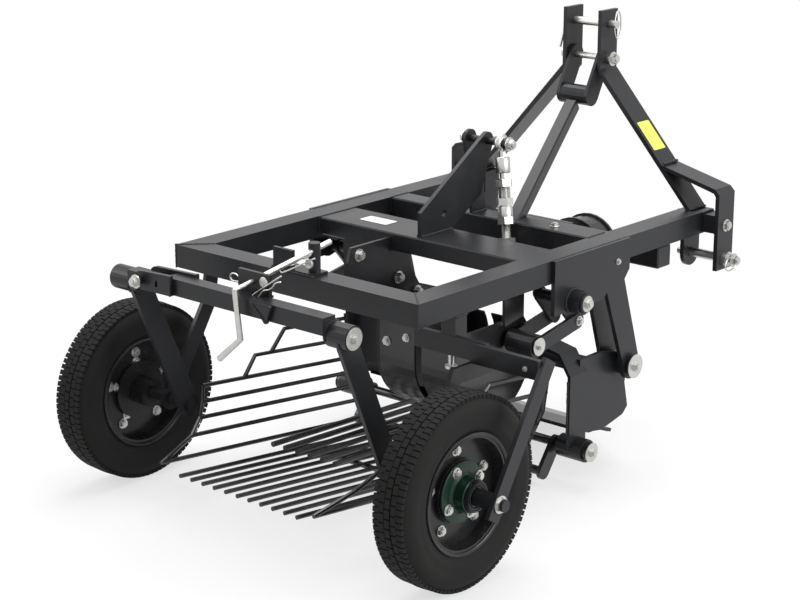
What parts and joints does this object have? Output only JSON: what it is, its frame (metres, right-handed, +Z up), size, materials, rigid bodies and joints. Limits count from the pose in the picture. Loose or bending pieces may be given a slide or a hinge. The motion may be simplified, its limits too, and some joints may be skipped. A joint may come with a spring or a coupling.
{
  "type": "vibrating potato digger",
  "caption": "Tractor-mounted single-row vibrating potato digger: frame with A-shaped hitch mast, share box, swinging rod sieve, eccentric drive and two rear wheels.",
  "frame": {"origin": "centre of the machine's outline on the ground it stands on", "axes": "+X to the machine's right, +Y forward towards the tractor, +Z up"},
  "size_m": [1.113, 1.272, 0.978],
  "materials": {
    "powder_coat": "dark anthracite powder coat, satin",
    "black_gloss": "black paint, glossy",
    "zinc": "zinc plated",
    "steel": "bare machined steel",
    "share_steel": "dark painted steel",
    "rim_black": "black paint, glossy, with a dark green hub",
    "rubber": "black rubber, matt"
  },
  "bodies": {
    "frame": {"arm_left_front": "powder_coat", "arm_left_rear": "powder_coat", "arm_right_rear": "powder_coat", "bracket_plate": "powder_coat", "bracket_strut": "powder_coat", "carriage_tube": "powder_coat", "drawbar_tube": "powder_coat", "front_beam": "powder_coat", "gear_housing": "powder_coat", "guard_inner": "black_gloss", "guard_outer": "black_gloss", "hitch_strap_left": "powder_coat", "hitch_strap_right": "powder_coat", "inner_bar": "powder_coat", "inner_leg_left": "powder_coat", "inner_leg_right": "powder_coat", "inner_lug_left": "powder_coat", "inner_lug_right": "powder_coat", "lug_pin_left": "zinc", "lug_pin_right": "zinc", "mast_bolt": "zinc", "mast_brace": "powder_coat", "mast_left": "powder_coat", "mast_right": "powder_coat", "mast_strap": "powder_coat", "middle_beam": "powder_coat", "outer_leg": "powder_coat", "pto_guard": "black_gloss", "rear_beam": "powder_coat", "side_beam_left": "powder_coat", "side_beam_right": "powder_coat", "side_plate_left": "powder_coat", "side_plate_right": "powder_coat", "spindle": "zinc", "spindle_bracket": "powder_coat", "support_bar": "powder_coat", "top_link_pin": "zinc", "turnbuckle": "zinc", "turnbuckle_lug": "powder_coat"},
    "wheel_left": {"tyre_left": "rubber", "rim_left": "rim_black"},
    "wheel_right": {"tyre_right": "rubber", "rim_right": "rim_black"},
    "pto": {"pto_shaft": "steel"},
    "crank": {"crank_shaft": "steel"},
    "rocker_left": {"rocker_arm_left": "powder_coat", "rocker_link_left": "powder_coat"},
    "rocker_right": {"rocker_arm_right": "powder_coat", "rocker_link_right": "powder_coat"},
    "share_box": {"box_side_left": "powder_coat", "box_side_right": "powder_coat", "box_floor": "powder_coat", "share_blade": "share_steel", "share_fingers": "black_gloss", "drive_rod": "powder_coat"},
    "sieve": {"sieve_shaft": "black_gloss", "sieve_grate": "black_gloss", "sieve_wall_left": "black_gloss", "sieve_wall_right": "black_gloss"}
  },
  "joints": [
    {"name": "wheel_left_spin", "type": "hinge", "parent": "frame", "child": "wheel_left", "pos_m": [-0.493, -0.436, 0.2], "axis": [1, 0, 0], "continuous": true},
    {"name": "wheel_right_spin", "type": "hinge", "parent": "frame", "child": "wheel_right", "pos_m": [0.43, -0.436, 0.2], "axis": [1, 0, 0], "continuous": true},
    {"name": "pto_spin", "type": "hinge", "parent": "frame", "child": "pto", "pos_m": [-0.0315, 0.561, 0.39], "axis": [0, 1, 0], "continuous": true},
    {"name": "crank_spin", "type": "hinge", "parent": "frame", "child": "crank", "pos_m": [-0.0315, -0.046, 0.32], "axis": [1, 0, 0], "continuous": true},
    {"name": "share_box_swing", "type": "hinge", "parent": "frame", "child": "share_box", "pos_m": [-0.0315, 0.302, 0.248], "axis": [1, 0, 0], "range_deg": [-1, 1]},
    {"name": "rocker_left_swing", "type": "hinge", "parent": "frame", "child": "rocker_left", "pos_m": [-0.3635, 0.079, 0.447], "axis": [1, 0, 0], "range_deg": [-3, 3]},
    {"name": "rocker_right_swing", "type": "hinge", "parent": "frame", "child": "rocker_right", "pos_m": [0.3005, 0.079, 0.447], "axis": [1, 0, 0], "range_deg": [-3, 3]},
    {"name": "sieve_swing", "type": "hinge", "parent": "share_box", "child": "sieve", "pos_m": [-0.0315, 0.137, 0.092], "axis": [1, 0, 0], "range_deg": [-2.5, 2.5]}
  ],
  "couplings": [
    {"joint": "sieve_swing", "follows": "share_box_swing", "ratio": -2.5},
    {"joint": "rocker_left_swing", "follows": "share_box_swing", "ratio": 3},
    {"joint": "rocker_right_swing", "follows": "share_box_swing", "ratio": 3}
  ]
}
